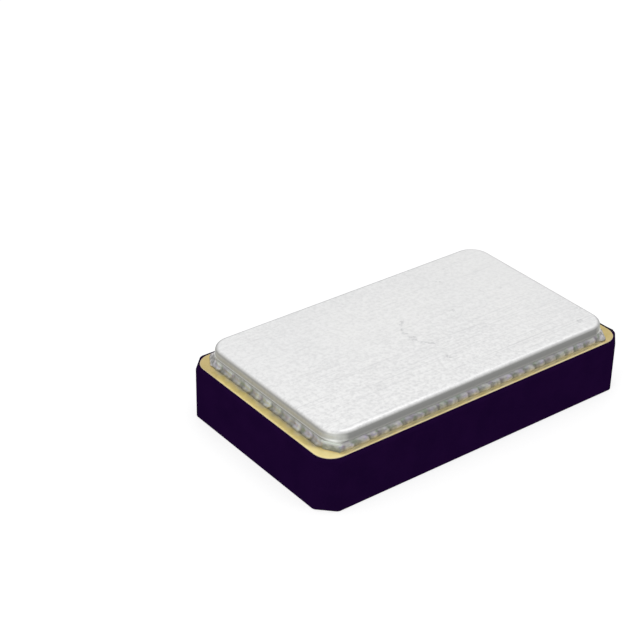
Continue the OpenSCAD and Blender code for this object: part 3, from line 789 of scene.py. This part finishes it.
def spot_at(row, s, z, lean_sign):
    """(height, paleness) of a row of spots at s along it, where paleness is painted light on a lip and
    painted shade in a hollow:
    behind one spot's lip the surface drops to the next spot, which rises slowly to its own lip, with faint
    ripples."""
    for before, spot in zip(row, row[1:]):
        start, end = lip_of(before, z, lean_sign), lip_of(spot, z, lean_sign)
        if s <= end:
            t = (s - start) / max(end - start, LEAST_SPOT)
            own, left = dome_of(spot, z), dome_of(before, z)
            rise, fall = smooth(t / 0.85), smooth(t / 0.24)
            wave = math.sin(math.tau * (RIPPLES * t + spot["ripple"])) * fall
            height = left + (own * (0.22 + 0.78 * rise) - left) * fall + 0.05 * wave
            pale = left + (own * rise ** 1.3 - left) * smooth(t / 0.2) + 0.10 * wave
            return height, pale
    return 0.4, 0.4


def grit_at(p, z):
    """Fine and coarse unevenness of the bead's surface."""
    here = Vector((p.x, p.y, z))
    return GRIT * (noise.noise(here * 38) + noise.noise(here * 11))


def weld_point(p, out, v):
    """(distance out from the ring's outline, height, paleness) of the bead at v, which goes from 0 at its
    foot to 1 at its top; paleness is painted light and shade. The bead is a rounded wall with the spots on
    it. On the ends, but not by the corner where the seam starts, it spills onto the band in a toe, and at the
    other corners the whole bead is a slope."""
    z = weld_low.z + (weld_high.z - weld_low.z) * v
    side = (round(out.x), round(out.y)) if max(abs(out.x), abs(out.y)) > 0.999 else None
    # Off the rows the paleness rises above 1 at the top: a painted highlight on the corner ridge.
    raised, pale = 0.25, 0.46 + 0.74 * smooth((v - 0.55) / 0.30)
    if side in ROWS:
        along, length, lean = (p.x, row_x, 1) if side[0] == 0 else (-p.y, row_y, -1)
        fade = smooth((length / 2 - abs(along)) / 0.07)
        wander = 0.016 * noise.noise(Vector((along * 8, z * 30, side[0] + 3 * side[1])))
        spot_raised, spot_lit = spot_at(ROWS[side], along + wander, z, lean)
        spot_lit += (0.30 - spot_lit) * 0.7 * smooth((v - 0.80) / 0.20)
        raised += fade * (spot_raised - raised)
        pale += fade * (spot_lit - pale)
    raised *= (0.75 + 0.25 * smooth(v / 0.2)) * (1 - smooth((v - 0.74) / 0.26))
    shoulder = max(0.0, (v - SHOULDER_AT) / (1 - SHOULDER_AT))
    body = WELD_T * math.sqrt(max(0.0, 1 - shoulder ** 2.2))
    grit = grit_at(p, z)
    reach = min(body + SPOT_OUT * raised + grit * (1 - shoulder), WELD_T + SPOT_OUT)

    spilt = sloped = run_out(p)
    if side in ROWS and side[0]:
        spilt = smooth((row_y / 2 + p.y) / 0.15) if p.x < 0 else 1.0
        reach += END_TOE * spilt * (0.5 + 0.5 * raised) * max(0.0, 1 - v / TOE_TOP) ** 2
    z -= spilt * foot_gap * max(0.0, 1 - v / 0.15)
    slope = SLOPE_OUT - SLOPE_RUN * smooth(v / 0.95) + 3 * grit
    return reach + sloped * (slope - reach), z, pale + sloped * (0.45 - pale)


path = outline(ring_corners, 0, WELD_CORNER_R, WELD_ARC, WELD_STEP)
rows, shades, corners = [], [], []


def weld_loop(v, hidden_at=None):
    """Adds the bead's loop at v, on its surface or, for a hidden row, at hidden_at."""
    loop = []
    for p, out in path:
        reach, z, pale = weld_point(p, out, v)
        if hidden_at is not None:
            reach = hidden_at - HIDDEN_STEP_BACK * v * run_out(p)
        loop.append((p.x + out.x * reach, p.y + out.y * reach, z))
        shades.append(pale)
        corners.append(run_out(p) or -at_cut(p, COLOUR_FADE))
    rows.append(loop)


weld_loop(0.0, FOOT_ROW)
for j in range(WELD_ROWS + 1):
    weld_loop(j / WELD_ROWS)
weld_loop(1.0, TOP_ROW)
weld_loop(0.90, BACK_ROW)
bm = bmesh.new()
skin(bm, rows, closed=True)
weld = finish_mesh(bm, "weld_bead", WELD, sharp=0, weighted=False)
for name, values in (("shade", shades), ("corner", corners)):
    weld.data.attributes.new(name, "FLOAT", "POINT").data.foreach_set("value", values)
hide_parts("seam_weld")

# ---------------------------------------------------------------- finishes of the CAD nodes that stay

KEPT = {
    "ring_braze": BRAZE, "seal_ring": RING_METAL, "ring_via": VIA_METAL,
    "die_land": GOLD_TRACE, "die_attach": ADHESIVE, "oscillator_die": SILICON,
    "electrode_bottom": ELECTRODE, "quartz_blank": QUARTZ, "electrode_top": ELECTRODE,
}
for i in range(1, 5):
    KEPT[f"terminal_via_{i}"] = VIA_METAL
    KEPT[f"bond_trace_{i}"] = GOLD_TRACE
for i in range(1, 3):
    KEPT[f"crystal_trace_{i}"] = GOLD_TRACE
    KEPT[f"crystal_via_{i}"] = VIA_METAL
    KEPT[f"crystal_land_{i}"] = GOLD_TRACE
    KEPT[f"adhesive_dot_{i}"] = ADHESIVE
for i in range(1, 7):
    KEPT[f"bond_wire_{i}"] = GOLD_WIRE
for node, material in KEPT.items():
    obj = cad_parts[node]
    if not obj.material_slots:
        obj.data.materials.append(material)
    for s in obj.material_slots:
        s.link = "OBJECT"
        s.material = material

# ---------------------------------------------------------------- floor, light and camera

scene = bpy.context.scene
scene.view_settings.view_transform = "Standard"


def white_to_eyes(tree, seen, lit):
    """Mixes two shaders: seen for what camera, mirror and glass rays meet, lit for the rest."""
    rays = add_node(tree, "ShaderNodeLightPath").outputs
    eyes = rays["Is Camera Ray"]
    for kind in ("Is Glossy Ray", "Is Transmission Ray"):
        either = add_node(tree, "ShaderNodeMath", {0: eyes, 1: rays[kind]}, operation="ADD", use_clamp=True)
        eyes = either.outputs[0]
    return add_node(tree, "ShaderNodeMixShader", {0: eyes, 1: lit, 2: seen}).outputs[0]


def studio_world():
    world = bpy.data.worlds.new("studio")
    world.use_nodes = True
    tree = world.node_tree
    tree.nodes.clear()
    white = (1.0, 1.0, 1.0, 1.0)
    seen = add_node(tree, "ShaderNodeBackground", {"Color": white, "Strength": 1.0}).outputs[0]
    lit = add_node(tree, "ShaderNodeBackground", {"Color": white, "Strength": 0.7}).outputs[0]
    add_node(tree, "ShaderNodeOutputWorld", {"Surface": white_to_eyes(tree, seen, lit)})
    world.cycles.sampling_method = "NONE"
    return world


def paper_finish():
    """A floor that looks nearly white and keeps the shadow. It is clear to diffuse rays and from below."""
    paper = bpy.data.materials.new("pale_floor")
    paper.use_nodes = True
    tree = paper.node_tree
    tree.nodes.clear()
    matt = add_node(tree, "ShaderNodeBsdfDiffuse", {"Color": (0.45, 0.45, 0.45, 1.0)}).outputs[0]
    glow = add_node(tree, "ShaderNodeEmission", {"Strength": 0.70}).outputs[0]
    seen = add_node(tree, "ShaderNodeAddShader", {0: matt, 1: glow}).outputs[0]
    lit = add_node(tree, "ShaderNodeBsdfDiffuse", {"Color": (0.80, 0.80, 0.80, 1.0)}).outputs[0]
    clear = add_node(tree, "ShaderNodeBsdfTransparent").outputs[0]
    from_below = add_node(tree, "ShaderNodeNewGeometry").outputs["Backfacing"]
    bounced = add_node(tree, "ShaderNodeLightPath").outputs["Is Diffuse Ray"]
    opened = add_node(tree, "ShaderNodeMath", {0: from_below, 1: bounced}, operation="MAXIMUM").outputs[0]
    top = white_to_eyes(tree, seen, lit)
    sided = add_node(tree, "ShaderNodeMixShader", {0: opened, 1: top, 2: clear}).outputs[0]
    add_node(tree, "ShaderNodeOutputMaterial", {"Surface": sided})
    paper.cycles.emission_sampling = "NONE"
    return paper


def toward(azimuth, elevation):
    """The direction from the object to a place; azimuth 0 is on the -Y side and 90 on the +X side."""
    a, e = math.radians(azimuth), math.radians(elevation)
    return Vector((math.sin(a) * math.cos(e), -math.cos(a) * math.cos(e), math.sin(e)))


scene.world = studio_world()

mesh = bpy.data.meshes.new("floor")
square = [(x * MM, y * MM, FLOOR_Z * MM) for x, y in cut_corners(FLOOR_HALF, FLOOR_HALF)]
mesh.from_pydata(square, [], [(0, 1, 2, 3)])
mesh.materials.append(paper_finish())
floor = bpy.data.objects.new("floor", mesh)
scene.collection.objects.link(floor)


def softbox(name, azimuth, elevation, distance, size, radiance):
    """A square lamp that looks at the object."""
    back = toward(azimuth, elevation)
    lamp = bpy.data.lights.new(name, "AREA")
    lamp.shape = "SQUARE"
    lamp.size = size * MM
    lamp.energy = radiance * math.pi * lamp.size ** 2
    obj = bpy.data.objects.new(name, lamp)
    obj.location = back * distance * MM
    obj.rotation_mode = "QUATERNION"
    obj.rotation_quaternion = back.to_track_quat("Z", "Y")
    obj.visible_camera = False
    scene.collection.objects.link(obj)
    return obj


softbox("overhead", 10, 74, 70, 60, 0.6).visible_glossy = False
softbox("left", -72, 38, 36, 26, 0.7)
softbox("sheen", 125, 58, 70, 30, 0.6).visible_diffuse = False

camera = bpy.data.objects.new("camera", bpy.data.cameras.new("camera"))
camera.data.lens = LENS
camera.data.sensor_width = SENSOR
camera.data.clip_start, camera.data.clip_end = 0.5 * MM, 2.0
back = toward(CAMERA_AZIMUTH, CAMERA_ELEVATION)
level_right = toward(CAMERA_AZIMUTH + 90, 0)
roll = math.radians(CAMERA_ROLL)
right = level_right * math.cos(roll) + back.cross(level_right) * math.sin(roll)
camera.rotation_mode = "QUATERNION"
camera.rotation_quaternion = Matrix((right, back.cross(right), back)).transposed().to_quaternion()
camera.location = Vector(CAMERA_AT) * MM
scene.collection.objects.link(camera)
scene.camera = camera

bpy.context.view_layer.update()
